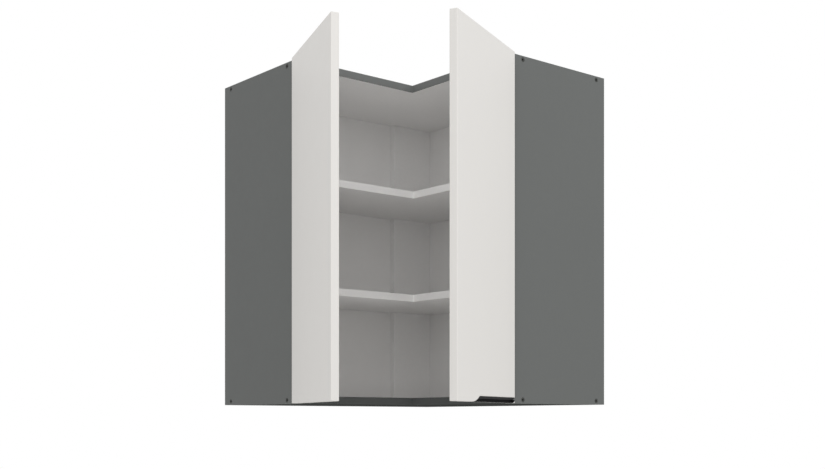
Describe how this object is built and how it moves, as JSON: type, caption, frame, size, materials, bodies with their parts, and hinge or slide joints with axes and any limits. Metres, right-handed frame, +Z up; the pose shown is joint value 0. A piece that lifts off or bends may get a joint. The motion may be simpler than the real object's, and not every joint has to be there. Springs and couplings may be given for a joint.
{
  "type": "corner wall cabinet",
  "caption": "L-shaped wall cabinet for a square room corner, with L-shaped shelves behind side-hinged doors that stand open.",
  "frame": {"origin": "the room corner where the two walls meet, at the height of the cabinet's underside", "axes": "+X along the right-hand wall to the right wing's end, -Y along the left-hand wall to the left wing's end, +Z up"},
  "size_m": [0.7276, 0.7126, 0.716],
  "materials": {
    "graphite_board": "melamine-faced chipboard, fine-textured graphite grey outside and white inside",
    "white_board": "melamine-faced chipboard, fine-textured white",
    "white_front": "foiled fibreboard front, smooth warm white",
    "back_sheet": "thin hardboard, lacquered white on the inner side",
    "grip_black": "matt black extruded grip profile",
    "screw_dark": "blackened steel connector screws",
    "nickel_steel": "nickel-plated pressed steel",
    "zinc_steel": "zinc-plated steel strip",
    "white_plastic": "moulded white plastic"
  },
  "bodies": {
    "carcass": {"back_sheet_left": "back_sheet", "back_sheet_right": "back_sheet", "bottom_board": "graphite_board", "corner_board": "white_board", "corner_screw_bottom_1": "screw_dark", "corner_screw_bottom_2": "screw_dark", "corner_screw_top_1": "screw_dark", "corner_screw_top_2": "screw_dark", "end_panel_left": "graphite_board", "end_panel_right": "graphite_board", "end_screw_left_bottom_front": "screw_dark", "end_screw_left_bottom_rear": "screw_dark", "end_screw_left_top_front": "screw_dark", "end_screw_left_top_rear": "screw_dark", "end_screw_right_bottom_front": "screw_dark", "end_screw_right_bottom_rear": "screw_dark", "end_screw_right_top_front": "screw_dark", "end_screw_right_top_rear": "screw_dark", "hanger_hook_left": "zinc_steel", "hanger_hook_right": "zinc_steel", "hanger_housing_left": "white_plastic", "hanger_housing_right": "white_plastic", "hinge_arm_left_bottom": "nickel_steel", "hinge_arm_left_top": "nickel_steel", "hinge_arm_right_bottom": "nickel_steel", "hinge_arm_right_top": "nickel_steel", "hinge_plate_left_bottom": "nickel_steel", "hinge_plate_left_top": "nickel_steel", "hinge_plate_right_bottom": "nickel_steel", "hinge_plate_right_top": "nickel_steel", "shelf_lower": "white_board", "shelf_pin_left_lower_front": "nickel_steel", "shelf_pin_left_lower_rear": "nickel_steel", "shelf_pin_left_upper_front": "nickel_steel", "shelf_pin_left_upper_rear": "nickel_steel", "shelf_pin_right_lower_front": "nickel_steel", "shelf_pin_right_lower_rear": "nickel_steel", "shelf_pin_right_upper_front": "nickel_steel", "shelf_pin_right_upper_rear": "nickel_steel", "shelf_screw_lower": "screw_dark", "shelf_screw_upper": "screw_dark", "shelf_upper": "white_board", "top_board": "graphite_board"},
    "door_right": {"door_right": "white_front", "grip_profile": "grip_black", "hinge_cup_right_bottom": "nickel_steel", "hinge_cup_right_top": "nickel_steel"},
    "levers_right": {"hinge_lever_right_bottom": "nickel_steel", "hinge_lever_right_top": "nickel_steel"},
    "links_right": {"hinge_link_right_bottom": "nickel_steel", "hinge_link_right_top": "nickel_steel"},
    "door_left": {"door_left": "white_front", "hinge_cup_left_bottom": "nickel_steel", "hinge_cup_left_top": "nickel_steel"},
    "levers_left": {"hinge_lever_left_bottom": "nickel_steel", "hinge_lever_left_top": "nickel_steel"},
    "links_left": {"hinge_link_left_bottom": "nickel_steel", "hinge_link_left_top": "nickel_steel"}
  },
  "joints": [
    {"name": "right_door_swing", "type": "hinge", "parent": "carcass", "child": "door_right", "pos_m": [0.5987, -0.292, 0.358], "axis": [0, 0, 1], "range_deg": [-114, 6]},
    {"name": "right_lever_swing", "type": "hinge", "parent": "carcass", "child": "levers_right", "pos_m": [0.572, -0.2783, 0.358], "axis": [0, 0, 1], "range_deg": [-114, 6]},
    {"name": "right_link_swing", "type": "hinge", "parent": "levers_right", "child": "links_right", "pos_m": [0.58213, -0.29612, 0.358], "axis": [0, 0, 1], "range_deg": [-6, 114]},
    {"name": "left_door_swing", "type": "hinge", "parent": "carcass", "child": "door_left", "pos_m": [0.292, -0.5987, 0.358], "axis": [0, 0, -1], "range_deg": [-110, 10]},
    {"name": "left_lever_swing", "type": "hinge", "parent": "carcass", "child": "levers_left", "pos_m": [0.2783, -0.572, 0.358], "axis": [0, 0, -1], "range_deg": [-110, 10]},
    {"name": "left_link_swing", "type": "hinge", "parent": "levers_left", "child": "links_left", "pos_m": [0.29679, -0.58086, 0.358], "axis": [0, 0, -1], "range_deg": [-10, 110]}
  ],
  "couplings": [
    {"joint": "right_lever_swing", "follows": "right_door_swing", "ratio": 1},
    {"joint": "right_link_swing", "follows": "right_door_swing", "ratio": -1},
    {"joint": "left_lever_swing", "follows": "left_door_swing", "ratio": 1},
    {"joint": "left_link_swing", "follows": "left_door_swing", "ratio": -1}
  ]
}
